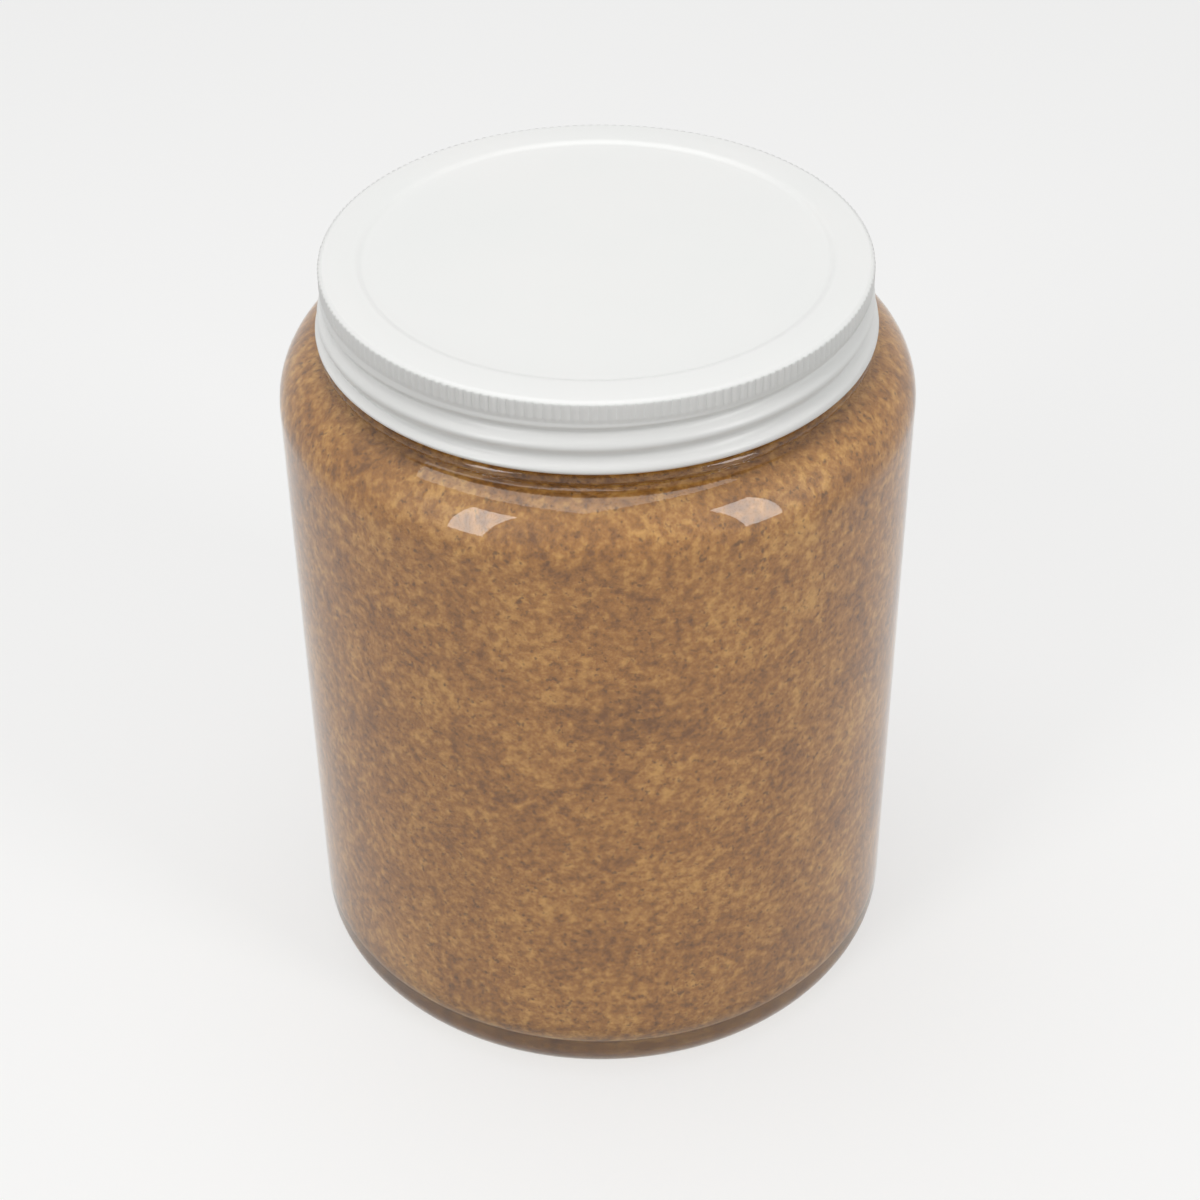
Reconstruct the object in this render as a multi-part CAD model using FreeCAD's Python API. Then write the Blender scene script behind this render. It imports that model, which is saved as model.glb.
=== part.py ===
import FreeCAD, Part
import math
import os

# A half-gallon wide-mouth glass jar of almond butter with its screw lid on.
# Millimetres. The origin is the centre of the base and +Z points up.
# Three pieces: the glass jar, the almond butter in it and the pressed steel lid.

# ---- driving sizes -------------------------------------------------------------------------

# glass jar
body_radius = 66.5          # outside of the straight body
glass_height = 172.5        # from the table to the sealing rim
wall = 3.2                  # body and shoulder wall
base_thickness = 6.8        # table to the inside floor
push_up = 2.4               # how far the base is domed up in the middle
bearing_width = 3.0         # flat ring that the jar stands on
heel_radius = 9.0           # outside corner between base and body
floor_corner = 8.0          # inside corner between floor and body
shoulder_radius = 13.0      # outside of the rounded shoulder
shoulder_slope = 16.0       # degrees from level where the shoulder meets the neck

# finish, the threaded neck
neck_radius = 53.5          # neck wall under the thread
neck_wall = 3.1             # from there in to the mouth
throat_radius = 3.1         # inside, where the mouth opens into the shoulder
finish_depth = 15.55        # rim down to the top of the transfer bead
bead_radius = 1.1           # section of the transfer bead round the neck
bead_reach = 3.9            # how far the bead stands out from the neck wall
bead_drop = 0.66            # hollow between the bead and the shoulder
lip_round = 1.2             # rounding of the sealing rim, inside and outside
neck_fillet = 0.8           # hollow where the neck meets the bead
glass_thread_stand = 1.4    # how far its crest stands out from the neck wall
glass_thread_width = 2.8    # foot to foot, up and down

# thread shared by the glass and the lid; each of its turns stands here as a level ring
thread_pitch = 5.08
thread_turns = 2
lid_thread_drop = 7.1       # lid top down to its first rolled groove
thread_offset = 2.3         # glass thread above the lid thread that pulls on it

# lid
lid_clearance = 2.5         # neck wall to the outside of the lid's top edge
lid_edge_gap = 0.6          # lid's bottom edge to the transfer bead
sheet = 0.35                # enamelled tinplate
corner_round = 0.9          # top edge
panel_clearance = 1.4       # mouth to the step round the sunk middle of the top
panel_step_run = 2.2        # width of that soft step
panel_sink = 0.6            # depth of the sunk middle
knurl_top = 0.6             # lid top down to the start of the ribs
knurl_bottom = 4.7          # lid top down to their end
knurl_count = 204
knurl_depth = 0.26          # at their upper end; they run out into the flaring skirt
skirt_flare = 0.185         # growth of the skirt's radius for each millimetre below the ribs
groove_depth = 1.45         # rolled thread, in from the skirt
groove_above = 1.8          # first groove's floor up to the plain skirt
groove_below = 2.45         # any other side: from a groove's floor to the crest of the next bead
flare_round = 0.9           # floor of the last groove, where the sheet turns out to the edge
curl_radius = 0.85          # section of the rolled bottom edge
curl_reach = 1.8            # bottom edge beyond the top edge

# almond butter
headroom = 9.0              # rim down to the almond butter
butter_edge = 1.5           # rounding where its top meets the glass
film_gap = 0.05             # almond butter to glass

# ---- worked-out places ---------------------------------------------------------------------

bore_radius = neck_radius - neck_wall
body_inside = body_radius - wall
slope = math.radians(shoulder_slope)
shoulder_deg = 90 - shoulder_slope

lid_top = glass_height + sheet
lid_height = sheet + finish_depth - lid_edge_gap
lid_radius = neck_radius + lid_clearance
panel_radius = bore_radius - panel_clearance - panel_step_run

bead_centre = neck_radius + bead_reach - bead_radius
bead_z = glass_height - finish_depth - bead_radius
shoulder_room = (body_radius - bead_centre) / (1 - math.sin(slope))
shoulder_round = min(shoulder_radius, shoulder_room)
shoulder_centre = body_radius - shoulder_round
shoulder_run = shoulder_centre + shoulder_round * math.sin(slope) - bead_centre
shoulder_rise = shoulder_round * math.cos(slope) + shoulder_run * math.tan(slope)
shoulder_z = bead_z - bead_radius - bead_drop - shoulder_rise
shoulder_inside = shoulder_round - wall
throat_centre = bore_radius + throat_radius
throat_run = shoulder_centre + (shoulder_inside + throat_radius) * math.sin(slope) - throat_centre
throat_rise = (shoulder_inside + throat_radius) * math.cos(slope) + throat_run * math.tan(slope)
throat_z = shoulder_z + throat_rise


def point(r, z):
    return FreeCAD.Vector(r, 0, z)


def line(start, end):
    return Part.LineSegment(start, end)


def bend(centre, radius, start_deg, end_deg):
    """An arc in the XZ plane about centre, an (r, z) pair, between two angles."""
    spots = []
    for deg in (start_deg, (start_deg + end_deg) / 2, end_deg):
        angle = math.radians(deg)
        spots.append(point(centre[0] + radius * math.cos(angle), centre[1] + radius * math.sin(angle)))
    return Part.Arc(*spots)


def turned(outline):
    """Joins pieces of outline with straight lines where they leave a gap, and turns them once."""
    edges = []
    ends = [(piece.StartPoint, piece.EndPoint) for piece in outline]
    for here, piece in enumerate(outline):
        edges.append(piece.toShape())
        end = ends[here][1]
        following = ends[(here + 1) % len(outline)][0]
        if end.distanceToPoint(following) > 1e-6:
            edges.append(line(end, following).toShape())
    face = Part.Face(Part.Wire(Part.__sortEdges__(edges)))
    return face.revolve(FreeCAD.Vector(0, 0, 0), FreeCAD.Vector(0, 0, 1), 360)


def glass_outline():
    """The jar's section: out along the base, up the outside, over the rim and down the inside."""
    bearing_out = body_radius - heel_radius
    bearing_in = bearing_out - bearing_width
    dome = (bearing_in ** 2 + push_up ** 2) / (2 * push_up)
    dome_deg = math.degrees(math.asin(bearing_in / dome))
    lip_z = glass_height - lip_round
    bead_top = bead_z + bead_radius
    threads = []
    for turn in reversed(range(thread_turns)):
        z = lid_top - lid_thread_drop + thread_offset - thread_pitch * turn
        foot = glass_thread_width / 2
        threads.append(Part.Arc(point(neck_radius, z - foot), point(neck_radius + glass_thread_stand, z),
                                point(neck_radius, z + foot)))
    return [
        bend((0, push_up - dome), dome, 90, 90 - dome_deg),
        bend((bearing_out, heel_radius), heel_radius, -90, 0),
        bend((shoulder_centre, shoulder_z), shoulder_round, 0, shoulder_deg),
        bend((bead_centre, bead_z), bead_radius, -90, 90),
        bend((neck_radius + neck_fillet, bead_top + neck_fillet), neck_fillet, 270, 180),
        *threads,
        bend((neck_radius - lip_round, lip_z), lip_round, 0, 90),
        bend((bore_radius + lip_round, lip_z), lip_round, 90, 180),
        bend((throat_centre, throat_z), throat_radius, 180, 180 + shoulder_deg),
        bend((shoulder_centre, shoulder_z), shoulder_inside, shoulder_deg, 0),
        bend((body_inside - floor_corner, base_thickness + floor_corner), floor_corner, 0, -90),
        line(point(0, base_thickness), point(0, push_up)),
    ]


def make_glass_jar():
    return turned(glass_outline())


def make_almond_butter():
    """Fills the jar's inside up to headroom below the rim, film_gap off the glass."""
    gap = film_gap
    top = glass_height - headroom
    mouth = bore_radius - gap
    return turned([
        line(point(0, top), point(mouth - butter_edge, top)),
        bend((mouth - butter_edge, top - butter_edge), butter_edge, 90, 0),
        bend((throat_centre, throat_z), throat_radius + gap, 180, 180 + shoulder_deg),
        bend((shoulder_centre, shoulder_z), shoulder_inside - gap, shoulder_deg, 0),
        bend((body_inside - floor_corner, base_thickness + floor_corner), floor_corner - gap, 0, -90),
        line(point(0, base_thickness + gap), point(0, top)),
    ])


def skirt_radius(drop):
    """Outside radius of the lid's skirt, between its grooves, at a depth below the lid top."""
    return lid_radius + skirt_flare * (drop - knurl_bottom)


def soft_step(rise, run):
    """Radius and angle of the two equal arcs that make a smooth step."""
    angle = 2 * math.atan(rise / run)
    return run / (2 * math.sin(angle)), math.degrees(angle)


def groove_floor(turn):
    """Radius and height of the deepest line of one rolled groove."""
    drop = lid_thread_drop + thread_pitch * turn
    return skirt_radius(drop) - groove_depth, lid_top - drop


def groove_side(turn, run):
    """Arcs from the skirt in to a groove's floor, run below it, or out again where run is negative."""
    floor_radius, floor_z = groove_floor(turn)
    edge_z = floor_z + run
    edge_radius = skirt_radius(lid_top - edge_z)
    bend_round, bend_deg = soft_step(edge_radius - floor_radius, abs(run))
    edge = (edge_radius - bend_round, edge_z)
    floor = (floor_radius + bend_round, floor_z)
    if run > 0:
        return [(edge, bend_round, 0, -bend_deg, 1), (floor, bend_round, 180 - bend_deg, 180, -1)]
    return [(floor, bend_round, 180, 180 + bend_deg, -1), (edge, bend_round, bend_deg, 0, 1)]


def sheet_lid():
    """The lid's bent sheet and its rolled edge, without the ribs."""
    step_round, step_deg = soft_step(panel_sink, panel_step_run)
    panel_z = lid_top - panel_sink
    bends = [
        ((panel_radius, panel_z + step_round), step_round, -90, -90 + step_deg, -1),
        ((panel_radius + panel_step_run, lid_top - step_round), step_round, 90 + step_deg, 90, 1),
        ((lid_radius - corner_round, lid_top - corner_round), corner_round, 90, 0, 1),
        *groove_side(0, groove_above),
    ]
    for turn in range(1, thread_turns):
        bends += groove_side(turn - 1, -groove_below)
        bends += groove_side(turn, groove_below)
    curl = (lid_radius + curl_reach - curl_radius, lid_top - lid_height + curl_radius)
    floor_radius, floor_z = groove_floor(thread_turns - 1)
    flare = (floor_radius + flare_round, floor_z)
    apart = math.dist(flare, curl)
    lean = math.atan2(flare[1] - curl[1], flare[0] - curl[0])
    flare_deg = math.degrees(lean - math.acos((flare_round + curl_radius) / apart))
    bends.append((flare, flare_round, 180, 180 + flare_deg, -1))
    inner_deg = flare_deg + math.degrees(math.acos(1 - sheet / curl_radius))
    outside = [bend(centre, radius, start, end) for centre, radius, start, end, side in bends]
    inside = [bend(centre, radius - side * sheet, end, start)
              for centre, radius, start, end, side in reversed(bends)]
    return turned([
        *outside,
        bend(curl, curl_radius, flare_deg, inner_deg - 360),
        *inside,
        line(point(0, panel_z - sheet), point(0, panel_z)),
    ])


def knurl_ring():
    """A ring of upright ribs, with bevelled ends, that stands on the lid's upper edge."""
    inner = lid_radius - sheet / 2
    crest = lid_radius + knurl_depth
    foot = 0.05
    low = lid_top - knurl_bottom
    high = lid_top - knurl_top
    step = 2 * math.pi / knurl_count
    ribs = []
    for rib in range(knurl_count):
        spots = []
        for share, radius in ((0, lid_radius), (0.5, crest), (1, lid_radius)):
            angle = step * (rib + share)
            spots.append(FreeCAD.Vector(radius * math.cos(angle), radius * math.sin(angle), low))
        ribs.append(Part.Arc(*spots).toShape())
    comb = Part.Face(Part.Wire(ribs)).extrude(FreeCAD.Vector(0, 0, high - low))
    bevel = 2 * knurl_depth
    envelope = turned([
        line(point(inner, low), point(lid_radius - foot, low)),
        line(point(crest + foot, low + bevel), point(crest + foot, high - bevel)),
        line(point(lid_radius - foot, high), point(inner, high)),
        line(point(inner, high), point(inner, low)),
    ])
    return comb.common(envelope)


def make_lid():
    return sheet_lid().fuse(knurl_ring())


def write(name, shape):
    """Writes one closed solid to parts/NAME.step and prints its figures."""
    solid = shape.Solids[0]
    box = solid.optimalBoundingBox()
    print(name, "solids", len(shape.Solids), "valid", solid.isValid(), "faces", len(solid.Faces),
          "cm3 %.2f" % (solid.Volume / 1000), "z %.2f to %.2f" % (box.ZMin, box.ZMax),
          "width %.2f" % box.XLength)
    solid.exportStep("parts/%s.step" % name)
    return solid


os.makedirs("parts", exist_ok=True)
glass_jar = write("glass_jar", make_glass_jar())
almond_butter = write("almond_butter", make_almond_butter())
lid = write("lid", make_lid())
for one, other in ((glass_jar, almond_butter), (glass_jar, lid), (almond_butter, lid)):
    print("gap %.3f" % one.distToShape(other)[0], "overlap mm3 %.4f" % one.common(other).Volume)
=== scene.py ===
"""A half-gallon glass jar of almond butter under its white screw lid, made around the packed frame."""

import math

import bpy
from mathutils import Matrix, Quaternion, Vector


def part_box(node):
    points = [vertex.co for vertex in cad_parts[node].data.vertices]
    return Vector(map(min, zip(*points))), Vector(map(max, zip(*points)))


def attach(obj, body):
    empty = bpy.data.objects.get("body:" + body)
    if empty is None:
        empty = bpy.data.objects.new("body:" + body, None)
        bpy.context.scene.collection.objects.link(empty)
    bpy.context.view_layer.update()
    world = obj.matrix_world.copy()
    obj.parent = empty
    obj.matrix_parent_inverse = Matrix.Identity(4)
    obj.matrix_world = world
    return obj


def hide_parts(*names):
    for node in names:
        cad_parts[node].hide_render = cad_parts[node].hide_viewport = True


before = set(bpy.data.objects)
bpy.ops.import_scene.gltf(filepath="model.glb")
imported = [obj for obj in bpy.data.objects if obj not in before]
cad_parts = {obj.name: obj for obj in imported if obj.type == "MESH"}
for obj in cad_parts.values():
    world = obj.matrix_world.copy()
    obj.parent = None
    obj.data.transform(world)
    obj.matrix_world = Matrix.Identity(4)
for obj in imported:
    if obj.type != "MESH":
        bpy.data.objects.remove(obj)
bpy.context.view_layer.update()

bl_info = {
    "name": "Almond Butter Jar",
    "version": (1, 0, 0),
    "blender": (4, 5, 0),
    "location": "View3D > Sidebar > Jar",
    "description": "Makes a glass jar of almond butter with a white screw lid, and a studio to show it in",
    "category": "Object",
}

MM = 0.001
JAR_LOW, JAR_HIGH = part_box("glass_jar")
LID_LOW, LID_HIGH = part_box("lid")
BUTTER_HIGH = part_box("almond_butter")[1]
SAME_POINT = 0.001 * MM      # points of an outline closer than this are one point
GLASS_POINTS = 192           # points round each ring of the glass
BUTTER_POINTS = 168          # points round each ring of the almond butter
RIB_POINTS = 3               # points round the lid for each of its ribs


# ---- sizes and colours that a user may change ----------------------------------------------


def linear(hex_colour):
    """An sRGB hex colour as the linear RGBA that Blender works in."""
    shares = [int(hex_colour[at:at + 2], 16) / 255 for at in (0, 2, 4)]
    return [s / 12.92 if s <= 0.04045 else ((s + 0.055) / 1.055) ** 2.4 for s in shares] + [1.0]


def length(name, description, metres):
    return bpy.props.FloatProperty(name=name, description=description, default=metres, min=0.0,
                                   precision=5, subtype="DISTANCE", unit="LENGTH")


def colour(name, description, hex_colour):
    return bpy.props.FloatVectorProperty(name=name, description=description, size=4, min=0.0, max=1.0,
                                         subtype="COLOR", default=linear(hex_colour))


def degrees(name, description, value):
    return bpy.props.FloatProperty(name=name, description=description, default=math.radians(value),
                                   subtype="ANGLE", unit="ROTATION")


class GlassSizes(bpy.types.PropertyGroup):
    """Sizes of the glass jar."""

    body_radius: length("Body radius", "Outside of the straight body", (JAR_HIGH.y - JAR_LOW.y) / 2)
    height: length("Height", "From the table to the sealing rim", JAR_HIGH.z)
    wall: length("Wall", "Body and shoulder wall", 3.2 * MM)
    base: length("Base", "Table to the inside floor", 6.8 * MM)
    push_up: length("Push-up", "How far the base is domed up in the middle", 2.4 * MM)
    bearing: length("Bearing ring", "Width of the ring that it stands on", 3.0 * MM)
    heel: length("Heel radius", "Outside corner between base and body", 9.0 * MM)
    floor_corner: length("Floor corner", "Inside corner between floor and body", 8.0 * MM)
    shoulder: length("Shoulder radius", "Outside of the rounded shoulder", 13.0 * MM)
    slope: degrees("Shoulder slope", "From level, where the shoulder meets the neck", 16.0)
    bore: length("Bore radius", "Mouth of the jar", 50.4 * MM)
    throat: length("Throat radius", "Inside, where the mouth opens into the shoulder", 3.1 * MM)
    neck: length("Neck radius", "Neck wall under the thread", 53.5 * MM)
    finish_depth: length("Finish depth", "Rim down to the top of the transfer bead", 15.55 * MM)
    bead: length("Bead radius", "Section of the transfer bead", 1.1 * MM)
    bead_reach: length("Bead reach", "How far the bead stands out from the neck", 3.9 * MM)
    bead_drop: length("Bead drop", "Hollow between the bead and the shoulder", 0.66 * MM)
    lip: length("Lip rounding", "Rounding of the sealing rim", 1.2 * MM)
    fillet: length("Neck fillet", "Hollow where the neck meets the bead", 0.8 * MM)
    thread_stand: length("Thread height", "How far the thread stands out", 1.4 * MM)
    thread_width: length("Thread width", "Foot to foot, up and down", 2.8 * MM)
    seam: length("Seam height", "How far the mould seams stand out", 0.09 * MM)
    seam_turn: degrees("Seam place", "Anticlockwise from the front to the first mould seam", 52.0)
    stipple: length("Stipple depth", "Depth of the notches in the bearing ring", 0.2 * MM)


class LidSizes(bpy.types.PropertyGroup):
    """Sizes of the pressed steel lid."""

    radius: length("Radius", "Top edge, without the ribs", 56.0 * MM)
    height: length("Height", "Top to the rolled bottom edge", LID_HIGH.z - LID_LOW.z)
    sheet: length("Sheet", "Thickness of the enamelled tinplate", 0.35 * MM)
    corner: length("Corner radius", "Rounding of the top edge", 0.9 * MM)
    panel_radius: length("Panel radius", "Sunk middle of the top", 46.8 * MM)
    step_run: length("Step width", "Width of the soft step round the panel", 2.2 * MM)
    panel_sink: length("Panel depth", "Depth of the sunk middle", 0.6 * MM)
    rib_top: length("Ribs start", "Lid top down to the start of the ribs", 0.4 * MM)
    rib_bottom: length("Ribs end", "Lid top down to the end of the ribs", 4.7 * MM)
    rib_depth: length("Rib depth", "How far the ribs stand out", 0.3 * MM)
    rib_count: bpy.props.IntProperty(name="Ribs", description="Ribs round the lid", default=204, min=24)
    skirt_flare: bpy.props.FloatProperty(
        name="Skirt flare", description="Growth of its radius for each length below the ribs", default=0.185)
    curl: length("Curl radius", "Section of the rolled bottom edge", 0.85 * MM)


class ThreadSizes(bpy.types.PropertyGroup):
    """The right-hand thread that the glass and the lid share."""

    pitch: length("Pitch", "Rise of one turn", 5.08 * MM)
    drop: length("Groove drop", "Lid top down to its groove, at the front", 7.1 * MM)
    offset: length("Glass offset", "Glass thread above the lid's", 2.3 * MM)
    groove: length("Groove depth", "Depth of the groove rolled in the lid", 1.45 * MM)
    above: length("Above groove", "Floor of the groove up to the plain skirt, on its first turn", 1.8 * MM)
    below: length("Below groove", "Floor of the groove down to the crest of the bead", 2.45 * MM)
    end: degrees("Upper end", "Anticlockwise from the front", 130.0)
    turns: bpy.props.FloatProperty(name="Turns", description="Turns of the thread", default=1.65)
    fade: degrees("Run-out", "Over how long each end of the thread fades", 40.0)


class ButterSizes(bpy.types.PropertyGroup):
    """Sizes of the almond butter."""

    level: length("Level", "Height that the almond butter is filled to", BUTTER_HIGH.z)
    bite: length("Bite", "How far it reaches into the glass, so that no air shows", 0.3 * MM)
    edge: length("Edge rounding", "Rounding where its top meets the glass", 1.5 * MM)
    swirl: length("Swirl height", "Height of the swirl left on top by filling", 1.6 * MM)
    swirl_pitch: length("Swirl pitch", "From one ridge of the swirl to the next", 12.0 * MM)
    grain: length("Grain", "Spacing of the coarser bits of nut", 2.0 * MM)
    fleck: length("Fleck", "Spacing of the bits of almond skin", 1.3 * MM)


class Finishes(bpy.types.PropertyGroup):
    """Colours of the jar and the stage."""

    enamel: colour("Enamel", "White baked enamel", "F5F5F3")
    enamel_thin: colour("Thin enamel", "Where the enamel lies a little thinner", "F3F4F2")
    glass: colour("Glass", "Clear soda-lime glass", "F4FAF6")
    nut_dark: colour("Dark paste", "Darker, oilier patches of almond butter", "764A20")
    nut_mid: colour("Paste", "Most of the almond butter", "A06A2E")
    nut_pale: colour("Pale paste", "Paler ground nut", "C4914E")
    skin: colour("Skin", "Flecks of almond skin", "5A381C")
    floor: colour("Floor", "The plain pale floor", "F4F4F2")
    bounce: colour("Floor bounce", "Colour of the light that the floor throws back up", "8C8B88")


class StageSettings(bpy.types.PropertyGroup):
    """Camera, lamps, sky and floor."""

    camera_back: length("Camera back", "Camera to the jar's axis, level", 431.75 * MM)
    camera_up: length("Camera up", "Camera above the lid", 245.8 * MM)
    aim: length("Aim height", "Height on the jar's axis that it looks at", 83.5 * MM)
    roll: degrees("Camera roll", "How far the camera is tipped", -0.64)
    lens: bpy.props.FloatProperty(name="Lens", description="Focal length in millimetres", default=73.0)
    world: bpy.props.FloatProperty(name="Sky", description="Strength of the sky overhead", default=0.48)
    sky_low: bpy.props.FloatProperty(
        name="Low sky", description="Its strength at the horizon, as a share of overhead", default=0.3)
    sky_seen: bpy.props.FloatProperty(
        name="Sky seen", description="Its level where the eye looks at it", default=0.9)
    glow_near: bpy.props.FloatProperty(
        name="Near glow", description="Share of plain white in the floor round the jar", default=0.6)
    glow_far: bpy.props.FloatProperty(
        name="Far glow", description="Share of plain white in the floor far off", default=0.87)
    paling_start: length("Paling start", "Where the floor starts to pale, from the jar's axis", 0.4)
    paling_end: length("Paling end", "Where it has paled to the level of the sky", 2.0)
    key: bpy.props.FloatProperty(name="Key", description="Power of the lamp overhead", default=3.6,
                                 unit="POWER")
    fill: bpy.props.FloatProperty(name="Fill", description="Power of each lamp at the sides", default=4.5,
                                  unit="POWER")


GROUPS = {
    "jar_glass": GlassSizes,
    "jar_lid": LidSizes,
    "jar_thread": ThreadSizes,
    "jar_butter": ButterSizes,
    "jar_finishes": Finishes,
    "jar_stage": StageSettings,
}


# ---- shaping -------------------------------------------------------------------------------


def arc(centre, radius, start_deg, end_deg, steps):
    """Points of an arc about centre in an outline of (radius, height) pairs."""
    points = []
    for step in range(steps + 1):
        angle = math.radians(start_deg + (end_deg - start_deg) * step / steps)
        points.append((centre[0] + radius * math.cos(angle), centre[1] + radius * math.sin(angle)))
    return points


def straight(start, end, longest):
    """Points of a straight run, no further apart than longest, without its ends."""
    steps = max(1, math.ceil(math.dist(start, end) / longest))
    return [(start[0] + (end[0] - start[0]) * step / steps, start[1] + (end[1] - start[1]) * step / steps)
            for step in range(1, steps)]


def filled_in(outline, longest):
    """The outline with points added wherever two of them are further apart than longest."""
    points = [outline[0]]
    for end in outline[1:]:
        if math.dist(points[-1], end) > 0.01 * MM:
            points += straight(points[-1], end, longest) + [end]
    return points


def turn(name, outline, segments, close_end):
    """Turns an outline about the upright axis, ring by ring, from a disc at its first point.

    A point that repeats the one before it, where two arcs meet, makes no ring of its own.
    """
    bpy.ops.object.select_all(action="DESELECT")
    radius, height = outline[0]
    bpy.ops.mesh.primitive_circle_add(vertices=segments, radius=radius, fill_type="TRIFAN",
                                      location=(0, 0, height))
    piece = bpy.context.object
    piece.name = name
    piece.data.name = name
    bpy.ops.object.mode_set(mode="EDIT")
    bpy.ops.mesh.select_mode(type="EDGE")
    bpy.ops.mesh.select_all(action="DESELECT")
    bpy.ops.mesh.select_non_manifold(use_wire=False, use_multi_face=False, use_non_contiguous=False,
                                     use_verts=False)
    for next_radius, next_height in outline[1:]:
        if math.dist((radius, height), (next_radius, next_height)) < SAME_POINT:
            continue
        bpy.ops.mesh.extrude_region_move(TRANSFORM_OT_translate={"value": (0, 0, next_height - height)})
        grow = next_radius / radius
        bpy.ops.transform.resize(value=(grow, grow, 1), center_override=(0, 0, 0))
        radius, height = next_radius, next_height
    if close_end:
        bpy.ops.mesh.extrude_region_move()
        bpy.ops.mesh.merge(type="CENTER")
    bpy.ops.mesh.select_all(action="SELECT")
    bpy.ops.mesh.normals_make_consistent(inside=False)
    bpy.ops.object.mode_set(mode="OBJECT")
    bpy.ops.object.transform_apply(location=True, rotation=True, scale=True)
    return piece


def press(piece, group_name, height, share):
    """Moves the surface out by height, or in where it is negative, by a share painted on each point.

    share takes a point's radius, angle from the front and height.
    """
    group = piece.vertex_groups.new(name=group_name)
    for vertex in piece.data.vertices:
        x, y, z = vertex.co
        weight = share(math.hypot(x, y), math.atan2(x, -y), z)
        if weight > 0:
            group.add([vertex.index], min(1.0, weight), "REPLACE")
    modifier = add_modifier(piece, "DISPLACE", strength=height, mid_level=0.0, vertex_group=group_name)
    bpy.ops.object.modifier_apply(modifier=modifier.name)
    piece.vertex_groups.remove(piece.vertex_groups[group_name])


def add_modifier(piece, kind, **settings):
    bpy.ops.object.select_all(action="DESELECT")
    piece.select_set(True)
    bpy.context.view_layer.objects.active = piece
    bpy.ops.object.modifier_add(type=kind)
    modifier = piece.modifiers[-1]
    for name, value in settings.items():
        setattr(modifier, name, value)
    return modifier


def thread_passes(angle, drop, front_drop):
    """The thread's passes at an angle: turns from its upper end, depth below it and run-out share."""
    sizes = bpy.context.scene.jar_thread
    passes = []
    for lap in range(-3, 2):
        along = angle + math.tau * lap
        to_end = min(sizes.end - along, along - sizes.end + math.tau * sizes.turns)
        if to_end > 0:
            run_out = math.sin(min(1.0, to_end / sizes.fade) * math.pi / 2) ** 2
            below = drop - front_drop + sizes.pitch * along / math.tau
            passes.append(((sizes.end - along) / math.tau, below, run_out))
    return passes


def hump(offset, half):
    """1 at the middle of a rounded ridge or groove, falling to 0 at half its width."""
    return math.cos(offset / half * math.pi / 2) ** 2 if abs(offset) < half else 0.0


def finish_piece(piece, material, node, smooth_deg):
    """Gives a shaped piece its material and its place in the frame."""
    bpy.ops.object.select_all(action="DESELECT")
    piece.select_set(True)
    bpy.context.view_layer.objects.active = piece
    bpy.ops.object.shade_smooth_by_angle(angle=math.radians(smooth_deg))
    piece.data.materials.append(material)
    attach(piece, "root")
    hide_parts(node)


# ---- materials -----------------------------------------------------------------------------


def new_material(name):
    material = bpy.data.materials.new(name)
    material.use_nodes = True
    material.node_tree.nodes.clear()
    return material


def add_node(owner, kind, links=None, **settings):
    """Adds a node; links maps an input to a value or to another node's output."""
    node = owner.node_tree.nodes.new(kind)
    for name, value in settings.items():
        setattr(node, name, value)
    for socket, value in (links or {}).items():
        if isinstance(value, bpy.types.NodeSocket):
            owner.node_tree.links.new(value, node.inputs[socket])
        else:
            node.inputs[socket].default_value = value
    return node


def colour_ramp(owner, factor, stops):
    """A ramp through (position, colour) stops."""
    node = add_node(owner, "ShaderNodeValToRGB", {"Fac": factor})
    elements = node.color_ramp.elements
    while len(elements) < len(stops):
        elements.new(0.5)
    for element, (position, shade) in zip(elements, stops):
        element.position = position
        element.color = shade
    return node.outputs["Color"]


def seen_directly(owner, rays):
    """1 where the eye looks straight at a surface, through glass or in a reflection, else 0."""
    seen = rays.outputs["Is Camera Ray"]
    for name in ("Is Glossy Ray", "Is Transmission Ray"):
        either = add_node(owner, "ShaderNodeMath", {0: seen, 1: rays.outputs[name]}, operation="MAXIMUM")
        seen = either.outputs[0]
    return seen


def enamel_material():
    """White baked enamel on tinplate.

    Sprayed or rolled on the sheet and stoved before the lid is pressed: a smooth pale skin with a
    semi-gloss, faint orange peel and long soft highlights along every bend.
    """
    shades = bpy.context.scene.jar_finishes
    material = new_material("white_baked_enamel_on_tinplate")
    place = add_node(material, "ShaderNodeTexCoord").outputs["Object"]
    peel = add_node(material, "ShaderNodeTexNoise", {"Vector": place, "Scale": 1 / (1.4 * MM), "Detail": 2.0})
    wear = add_node(material, "ShaderNodeTexNoise", {"Vector": place, "Scale": 1 / (45 * MM), "Detail": 3.0})
    skin = add_node(material, "ShaderNodeBump", {
        "Height": peel.outputs["Fac"], "Distance": 0.02 * MM, "Strength": 0.4})
    coat = colour_ramp(material, wear.outputs["Fac"], [(0.35, shades.enamel_thin), (0.6, shades.enamel)])
    surface = add_node(material, "ShaderNodeBsdfPrincipled", {
        "Base Color": coat, "Roughness": 0.3, "IOR": 1.5, "Normal": skin.outputs["Normal"]})
    add_node(material, "ShaderNodeOutputMaterial", {"Surface": surface.outputs["BSDF"]})
    return material


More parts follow.
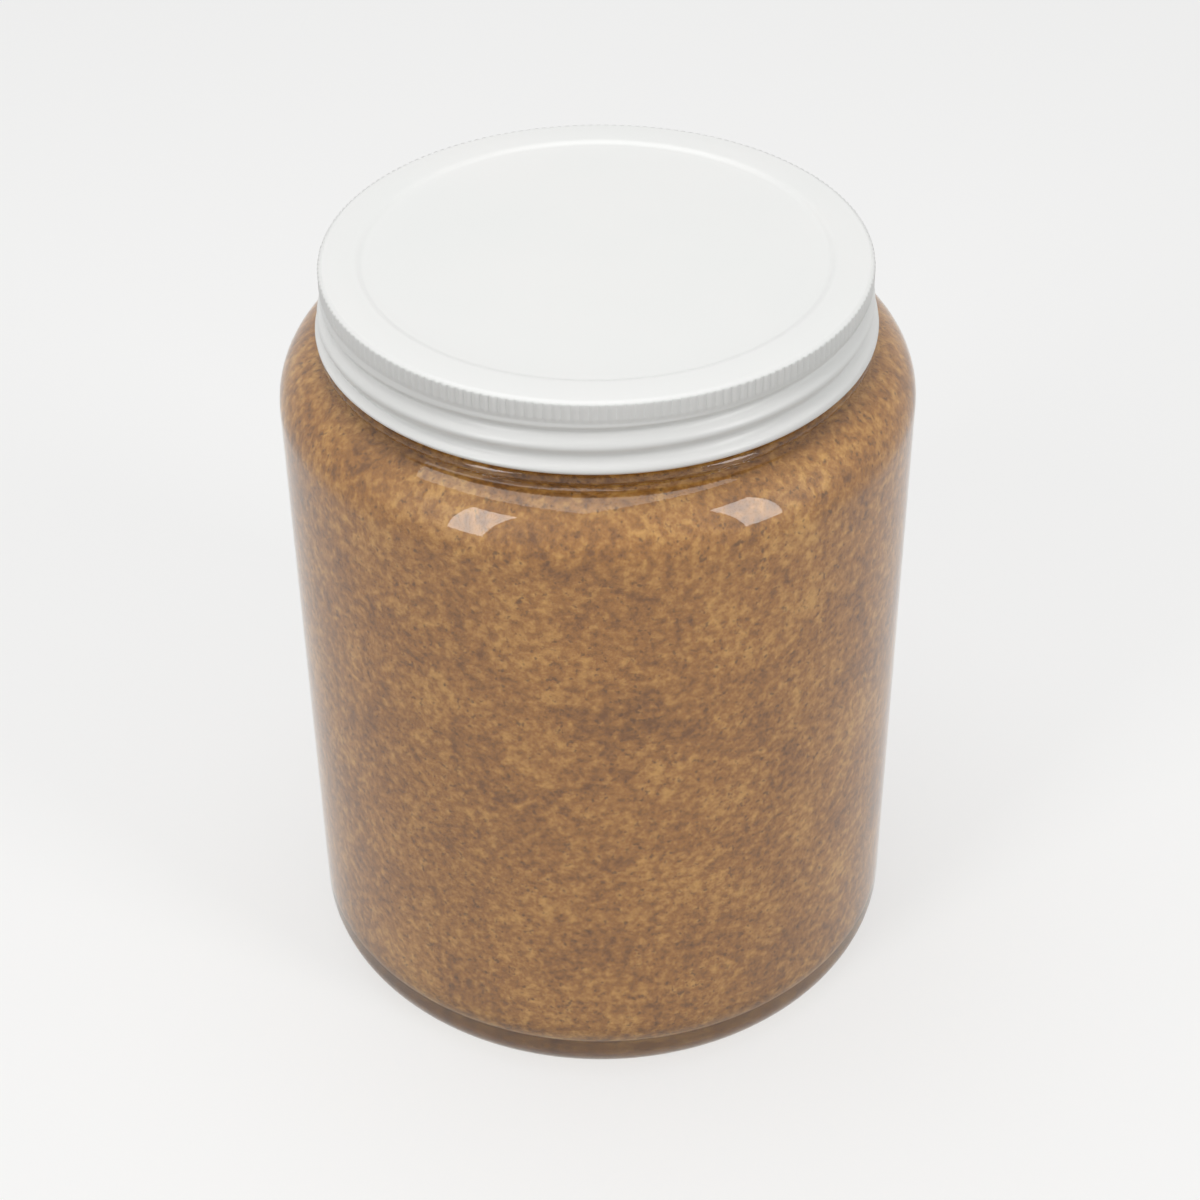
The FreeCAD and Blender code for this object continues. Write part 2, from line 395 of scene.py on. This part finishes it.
def glass_material():
    """Flint glass: clear soda-lime glass, blown in a mould.

    Very clear with a trace of green, a fire-polished face, and slow waves that bend highlights.
    Lamps shine through to what it holds.
    """
    shades = bpy.context.scene.jar_finishes
    material = new_material("clear_soda_lime_glass")
    place = add_node(material, "ShaderNodeTexCoord").outputs["Object"]
    flow = add_node(material, "ShaderNodeMapping", {"Vector": place, "Scale": (1.0, 1.0, 0.45)})
    wave = add_node(material, "ShaderNodeTexNoise", {"Vector": flow.outputs["Vector"], "Scale": 1 / (28 * MM),
                                                     "Detail": 1.5})
    bend = add_node(material, "ShaderNodeBump", {"Height": wave.outputs["Fac"], "Distance": 0.8 * MM,
                                                 "Strength": 0.35})
    body = add_node(material, "ShaderNodeBsdfPrincipled", {
        "Base Color": shades.glass, "Roughness": 0.02, "IOR": 1.52, "Transmission Weight": 1.0,
        "Normal": bend.outputs["Normal"]})
    lamp_light = add_node(material, "ShaderNodeBsdfTransparent", {"Color": shades.glass})
    rays = add_node(material, "ShaderNodeLightPath")
    mix = add_node(material, "ShaderNodeMixShader", {
        0: rays.outputs["Is Shadow Ray"], 1: body.outputs["BSDF"], 2: lamp_light.outputs["BSDF"]})
    add_node(material, "ShaderNodeOutputMaterial", {"Surface": mix.outputs["Shader"]})
    return material


def butter_material():
    """Almond butter, roasted almonds stone-ground with their skins.

    A moist tan-brown paste: mottled, with paler ground nut, darker oily patches and flecks of skin.
    """
    shades = bpy.context.scene.jar_finishes
    sizes = bpy.context.scene.jar_butter
    material = new_material("stone_ground_almond_butter")
    place = add_node(material, "ShaderNodeTexCoord").outputs["Object"]
    cloud = add_node(material, "ShaderNodeTexNoise", {"Vector": place, "Scale": 1 / (14 * MM), "Detail": 3.0})
    grain = add_node(material, "ShaderNodeTexNoise", {
        "Vector": place, "Scale": 1 / sizes.grain, "Detail": 4.0, "Roughness": 0.65})
    blend = add_node(material, "ShaderNodeMix", {0: 0.7, 2: cloud.outputs["Fac"], 3: grain.outputs["Fac"]})
    paste = colour_ramp(material, blend.outputs[0], [
        (0.36, shades.nut_dark), (0.50, shades.nut_mid), (0.64, shades.nut_pale)])
    crumb = add_node(material, "ShaderNodeTexNoise", {
        "Vector": place, "Scale": 1 / sizes.fleck, "Detail": 2.0, "Roughness": 0.6})
    fleck = add_node(material, "ShaderNodeMapRange", {"Value": crumb.outputs["Fac"], "From Min": 0.60,
                                                      "From Max": 0.70, "To Min": 0.0, "To Max": 0.7})
    tone = add_node(material, "ShaderNodeMix", {0: fleck.outputs["Result"], 6: paste, 7: shades.skin},
                    data_type="RGBA")
    relief = add_node(material, "ShaderNodeBump", {"Height": grain.outputs["Fac"], "Distance": 0.5 * MM,
                                                   "Strength": 0.5})
    moist = add_node(material, "ShaderNodeMapRange", {"Value": cloud.outputs["Fac"], "To Min": 0.55,
                                                      "To Max": 0.3})
    surface = add_node(material, "ShaderNodeBsdfPrincipled", {
        "Base Color": tone.outputs[2], "Roughness": moist.outputs["Result"], "IOR": 1.46,
        "Normal": relief.outputs["Normal"]})
    add_node(material, "ShaderNodeOutputMaterial", {"Surface": surface.outputs["BSDF"]})
    return material


def floor_material():
    """Painted board: matt, pale where it is seen and darker in the light that it throws back up.

    Far off it pales to the level of the sky, so that no edge shows between them.
    """
    shades = bpy.context.scene.jar_finishes
    stage = bpy.context.scene.jar_stage
    material = new_material("pale_painted_board")
    rays = add_node(material, "ShaderNodeLightPath")
    seen = seen_directly(material, rays)
    paint = add_node(material, "ShaderNodeMix", {0: seen, 6: shades.bounce, 7: shades.floor},
                     data_type="RGBA")
    matt = add_node(material, "ShaderNodeBsdfDiffuse", {"Color": paint.outputs[2]})
    white = add_node(material, "ShaderNodeEmission", {"Strength": 1.0})
    place = add_node(material, "ShaderNodeTexCoord").outputs["Object"]
    away = add_node(material, "ShaderNodeVectorMath", {0: place}, operation="LENGTH").outputs["Value"]
    haze = add_node(material, "ShaderNodeMapRange", {
        "Value": away, "From Min": stage.paling_start, "From Max": stage.paling_end,
        "To Min": stage.glow_near, "To Max": stage.glow_far},
        interpolation_type="SMOOTHSTEP")
    lift = add_node(material, "ShaderNodeMath", {0: seen, 1: haze.outputs["Result"]}, operation="MULTIPLY")
    mix = add_node(material, "ShaderNodeMixShader", {0: lift.outputs["Value"], 1: matt.outputs["BSDF"],
                                                     2: white.outputs["Emission"]})
    add_node(material, "ShaderNodeOutputMaterial", {"Surface": mix.outputs["Shader"]})
    return material


# ---- outlines ------------------------------------------------------------------------------


def glass_places():
    """Centres that the glass and the almond butter are drawn from, as (radius, height) pairs."""
    glass = bpy.context.scene.jar_glass
    across = math.sin(glass.slope)
    up = math.cos(glass.slope)
    bead = (glass.neck + glass.bead_reach - glass.bead, glass.height - glass.finish_depth - glass.bead)
    shoulder_in = glass.body_radius - glass.shoulder
    run = shoulder_in + glass.shoulder * across - bead[0]
    shoulder_z = bead[1] - glass.bead - glass.bead_drop - glass.shoulder * up - run * across / up
    throat_in = glass.bore + glass.throat
    reach = glass.shoulder - glass.wall + glass.throat
    throat_z = shoulder_z + reach * up + (shoulder_in + reach * across - throat_in) * across / up
    return {"bead": bead, "shoulder": (shoulder_in, shoulder_z), "throat": (throat_in, throat_z)}


def inside_outline(bite):
    """The jar's inside from the mouth down to the middle of the floor, moved out into the glass by bite."""
    glass = bpy.context.scene.jar_glass
    places = glass_places()
    bent = 90 - math.degrees(glass.slope)
    corner = (glass.body_radius - glass.wall - glass.floor_corner, glass.base + glass.floor_corner)
    return (arc(places["throat"], glass.throat - bite, 180, 180 + bent, 8)
            + arc(places["shoulder"], glass.shoulder - glass.wall + bite, bent, 0, 14)
            + arc(corner, glass.floor_corner + bite, 0, -90, 10)
            + [(2 * MM, glass.base - bite)])


def outside_outline():
    """The jar's outside from the middle of the base up to the rim and just into the mouth."""
    glass = bpy.context.scene.jar_glass
    places = glass_places()
    bearing_out = glass.body_radius - glass.heel
    bearing_in = bearing_out - glass.bearing
    dome = (bearing_in ** 2 + glass.push_up ** 2) / (2 * glass.push_up)
    dome_deg = math.degrees(math.asin(bearing_in / dome))
    hollow = (glass.neck + glass.fillet, places["bead"][1] + glass.bead + glass.fillet)
    lip_z = glass.height - glass.lip
    return (arc((0, glass.push_up - dome), dome, 90 - dome_deg / 20, 90 - dome_deg, 12)
            + arc((bearing_out, glass.heel), glass.heel, -90, 0, 16)
            + arc(places["shoulder"], glass.shoulder, 0, 90 - math.degrees(glass.slope), 18)
            + arc(places["bead"], glass.bead, -90, 90, 12)
            + arc(hollow, glass.fillet, 270, 180, 5)
            + filled_in([(glass.neck, hollow[1]), (glass.neck, lip_z)], 0.45 * MM)
            + arc((glass.neck - glass.lip, lip_z), glass.lip, 0, 90, 7)
            + arc((glass.bore + glass.lip, lip_z), glass.lip, 90, 180, 7))


def skirt_radius(drop):
    lid = bpy.context.scene.jar_lid
    return lid.radius + lid.skirt_flare * (drop - lid.rib_bottom)


def lid_outline():
    """The lid's outer face from the middle of the top down to the end of its rolled edge."""
    lid = bpy.context.scene.jar_lid
    top = LID_HIGH.z
    step_deg = 2 * math.degrees(math.atan(lid.panel_sink / lid.step_run))
    step_round = lid.step_run / (2 * math.sin(math.radians(step_deg)))
    panel_z = top - lid.panel_sink
    curl = ((LID_HIGH.x - LID_LOW.x) / 2 - lid.curl, top - lid.height + lid.curl)
    skirt_low = lid.height - lid.curl
    rows = 32
    skirt = []
    for row in range(1, rows):
        drop = lid.rib_bottom + (skirt_low - lid.rib_bottom) * row / rows
        skirt.append((skirt_radius(drop), top - drop))
    return ([(8 * MM, panel_z), (24 * MM, panel_z), (38 * MM, panel_z)]
            + arc((lid.panel_radius, panel_z + step_round), step_round, -90, -90 + step_deg, 3)
            + arc((lid.panel_radius + lid.step_run, top - step_round), step_round, 90 + step_deg, 90, 3)
            + arc((lid.radius - lid.corner, top - lid.corner), lid.corner, 90, 0, 6)
            + filled_in([(lid.radius, top - lid.corner), (lid.radius, top - lid.rib_bottom)], 0.65 * MM)
            + skirt
            + arc(curl, lid.curl, 0, -215, 14))


# ---- pieces --------------------------------------------------------------------------------


class JAR_OT_glass(bpy.types.Operator):
    """Make the glass jar with its thread, transfer bead, mould seams and stippled base"""

    bl_idname = "jar.make_glass"
    bl_label = "Glass Jar"

    def execute(self, context):
        glass = context.scene.jar_glass
        thread = context.scene.jar_thread
        outline = filled_in(outside_outline() + inside_outline(0.0), 7 * MM)
        piece = turn("jar_glass", outline, GLASS_POINTS, True)
        self.cut_seam_lines(glass)
        self.raise_thread(piece, glass, thread)
        self.raise_seams(piece, glass)
        self.notch_base(piece, glass)
        finish_piece(piece, glass_material(), "glass_jar", 50)
        return {"FINISHED"}

    def cut_seam_lines(self, glass):
        """Cuts a narrow strip along each side for the mould seam to stand up in."""
        bpy.ops.object.mode_set(mode="EDIT")
        across = Vector((math.cos(glass.seam_turn), math.sin(glass.seam_turn), 0))
        for side in (-0.45 * MM, 0.45 * MM):
            bpy.ops.mesh.select_all(action="SELECT")
            bpy.ops.mesh.bisect(plane_co=across * side, plane_no=across)
        bpy.ops.object.mode_set(mode="OBJECT")

    def raise_thread(self, piece, glass, thread):
        def share(radius, angle, z):
            if z < glass.height - glass.finish_depth or radius < glass.neck - glass.lip / 4:
                return 0.0
            room = min(1.0, (glass.height - glass.lip - z) / (1.5 * MM))
            passes = thread_passes(angle, LID_HIGH.z - z, thread.drop - thread.offset)
            return room * sum(run_out * hump(below, glass.thread_width / 2) for _, below, run_out in passes)
        press(piece, "thread", glass.thread_stand, share)

    def raise_seams(self, piece, glass):
        places = glass_places()
        shoulder_in, shoulder_z = places["shoulder"]
        bead_z = places["bead"][1]

        def share(radius, angle, z):
            off_seam = abs(math.sin(angle - glass.seam_turn)) * radius
            outside = radius > glass.body_radius - glass.wall / 2
            if z > shoulder_z:
                outside = math.hypot(radius - shoulder_in, z - shoulder_z) > glass.shoulder - glass.wall / 2
            return float(outside and off_seam < 0.02 * MM and glass.heel / 2 < z < bead_z)
        press(piece, "seam", glass.seam, share)

    def notch_base(self, piece, glass):
        bearing_out = glass.body_radius - glass.heel

        def share(radius, angle, z):
            notch = round(angle / math.tau * GLASS_POINTS) % 2
            on_ring = z < 0.05 * MM and bearing_out - 0.9 * glass.bearing < radius < bearing_out + 0.1 * MM
            return float(notch and on_ring)
        press(piece, "stipple", -glass.stipple, share)


class JAR_OT_almond_butter(bpy.types.Operator):
    """Make the almond butter, which fills the jar and reaches just into its wall"""

    bl_idname = "jar.make_almond_butter"
    bl_label = "Almond Butter"

    def execute(self, context):
        glass = context.scene.jar_glass
        butter = context.scene.jar_butter
        mouth = glass.bore + butter.bite
        top = ([(3 * MM, butter.level), (mouth - butter.edge, butter.level)]
               + arc((mouth - butter.edge, butter.level - butter.edge), butter.edge, 90, 0, 5)[1:])
        outline = filled_in(top + inside_outline(butter.bite), 3 * MM)
        piece = turn("almond_butter_fill", outline, BUTTER_POINTS, True)
        self.swirl_top(piece, butter, mouth)
        finish_piece(piece, butter_material(), "almond_butter", 60)
        return {"FINISHED"}

    def swirl_top(self, piece, butter, mouth):
        """Lowers the top between the ridges of one long spiral."""
        def share(radius, angle, z):
            if z < butter.level - 0.01 * MM:
                return 0.0
            ridge = 0.5 + 0.5 * math.cos(angle - math.tau * radius / butter.swirl_pitch)
            rim = min(1.0, (mouth - butter.edge - radius) / (4 * MM))
            return max(0.0, rim) * ridge
        press(piece, "swirl", -butter.swirl, share)


class JAR_OT_lid(bpy.types.Operator):
    """Make the screw lid: ribbed edge, rolled thread and curled bottom edge, from one sheet"""

    bl_idname = "jar.make_lid"
    bl_label = "Screw Lid"

    def execute(self, context):
        lid = context.scene.jar_lid
        thread = context.scene.jar_thread
        around = RIB_POINTS * lid.rib_count
        piece = turn("screw_lid", lid_outline(), around, False)
        self.roll_thread(piece, lid, thread)
        self.knurl(piece, lid, around)
        modifier = add_modifier(piece, "SOLIDIFY", thickness=lid.sheet, offset=-1.0, use_even_offset=True)
        bpy.ops.object.modifier_apply(modifier=modifier.name)
        finish_piece(piece, enamel_material(), "lid", 50)
        return {"FINISHED"}

    def roll_thread(self, piece, lid, thread):
        """Rolls the groove in; its later turns leave a rounded bead above them."""
        low = lid.height - lid.curl

        def share(radius, angle, z):
            drop = LID_HIGH.z - z
            if not lid.rib_bottom < drop < low or radius < lid.radius - lid.curl:
                return 0.0
            total = 0.0
            for turns, below, run_out in thread_passes(angle, drop, thread.drop):
                widened = min(1.0, max(0.0, 2 * (turns - 0.6)))
                half = thread.below if below > 0 else thread.above + widened * (thread.below - thread.above)
                total += run_out * hump(below, half)
            return min(1.0, (drop - lid.rib_bottom) / (0.9 * MM), (low - drop) / (1.5 * MM)) * total
        press(piece, "thread", -thread.groove, share)

    def knurl(self, piece, lid, around):
        def share(radius, angle, z):
            drop = LID_HIGH.z - z
            if not lid.rib_top < drop < lid.rib_bottom - 0.05 * MM or radius < lid.radius - lid.corner:
                return 0.0
            return float(round(angle / math.tau * around) % RIB_POINTS > 0)
        press(piece, "ribs", lid.rib_depth, share)


class JAR_OT_stage(bpy.types.Operator):
    """Set up the floor, the lamps and the camera"""

    bl_idname = "jar.set_stage"
    bl_label = "Studio"

    def execute(self, context):
        settings = context.scene.jar_stage
        self.lay_floor()
        self.light_sky(context, settings)
        self.hang_lamps(settings)
        self.place_camera(context, settings)
        return {"FINISHED"}

    def lay_floor(self):
        bpy.ops.object.select_all(action="DESELECT")
        bpy.ops.mesh.primitive_plane_add(size=12.0, location=(0, 0, 0))
        board = bpy.context.object
        board.name = "floor_board"
        board.data.materials.append(floor_material())

    def light_sky(self, context, settings):
        """A soft sky, brighter overhead, and near white wherever the eye looks at it."""
        world = bpy.data.worlds.new("studio_sky")
        world.use_nodes = True
        world.node_tree.nodes.clear()
        context.scene.world = world
        rays = add_node(world, "ShaderNodeLightPath")
        way = add_node(world, "ShaderNodeTexCoord").outputs["Generated"]
        height = add_node(world, "ShaderNodeSeparateXYZ", {"Vector": way}).outputs["Z"]
        soft = add_node(world, "ShaderNodeMapRange", {
            "Value": height, "To Min": settings.sky_low * settings.world, "To Max": settings.world})
        seen = seen_directly(world, rays)
        level = add_node(world, "ShaderNodeMix", {
            0: seen, 2: soft.outputs["Result"], 3: settings.sky_seen})
        sky = add_node(world, "ShaderNodeBackground", {
            "Color": linear("FFFFFF"), "Strength": level.outputs[0]})
        add_node(world, "ShaderNodeOutputWorld", {"Surface": sky.outputs["Background"]})

    def hang_lamps(self, settings):
        target = Vector((0, 0, 0.1))
        for name, place, size, power in (
                ("key_overhead", (-0.12, 0.1, 1.1), (0.8, 0.8), settings.key),
                ("fill_left", (-0.75, -0.8, 0.75), (0.3, 0.9), settings.fill),
                ("fill_right", (0.9, -0.65, 0.7), (0.3, 0.9), settings.fill)):
            bpy.ops.object.light_add(type="AREA", location=place)
            lamp = bpy.context.object
            lamp.name = name
            lamp.data.energy = power
            lamp.data.shape = "RECTANGLE"
            lamp.data.size, lamp.data.size_y = size
            lamp.rotation_euler = (target - Vector(place)).to_track_quat("-Z", "Y").to_euler()

    def place_camera(self, context, settings):
        """Stands the camera above and in front of the lid and leans it to take in the whole jar."""
        place = Vector((0, -settings.camera_back, LID_HIGH.z + settings.camera_up))
        bpy.ops.object.camera_add(location=place)
        camera = bpy.context.object
        camera.name = "studio_camera"
        look = (Vector((0, 0, settings.aim)) - place).to_track_quat("-Z", "Y")
        tip = Quaternion((0, 0, 1), settings.roll)
        camera.rotation_euler = (look @ tip).to_euler()
        camera.data.lens = settings.lens
        camera.data.sensor_width = 36.0
        camera.data.clip_start = 0.01
        context.scene.camera = camera
        context.scene.view_settings.view_transform = "Standard"


class JAR_PT_panel(bpy.types.Panel):
    """Lists the jar's pieces and their sizes"""

    bl_idname = "JAR_PT_panel"
    bl_label = "Almond Butter Jar"
    bl_space_type = "VIEW_3D"
    bl_region_type = "UI"
    bl_category = "Jar"

    def draw(self, context):
        layout = self.layout
        for operator in OPERATORS:
            layout.operator(operator.bl_idname)
        for name, group in GROUPS.items():
            box = layout.box()
            box.label(text=group.__doc__)
            for prop in group.__annotations__:
                box.prop(getattr(context.scene, name), prop)


OPERATORS = (JAR_OT_glass, JAR_OT_almond_butter, JAR_OT_lid, JAR_OT_stage)


def register():
    for group in GROUPS.values():
        bpy.utils.register_class(group)
    for operator in OPERATORS:
        bpy.utils.register_class(operator)
    bpy.utils.register_class(JAR_PT_panel)
    for name, group in GROUPS.items():
        setattr(bpy.types.Scene, name, bpy.props.PointerProperty(type=group))


def unregister():
    for name in GROUPS:
        delattr(bpy.types.Scene, name)
    bpy.utils.unregister_class(JAR_PT_panel)
    for operator in reversed(OPERATORS):
        bpy.utils.unregister_class(operator)
    for group in reversed(GROUPS.values()):
        bpy.utils.unregister_class(group)


def main():
    register()
    bpy.ops.jar.make_glass()
    bpy.ops.jar.make_almond_butter()
    bpy.ops.jar.make_lid()
    bpy.ops.jar.set_stage()


if __name__ == "__main__":
    main()
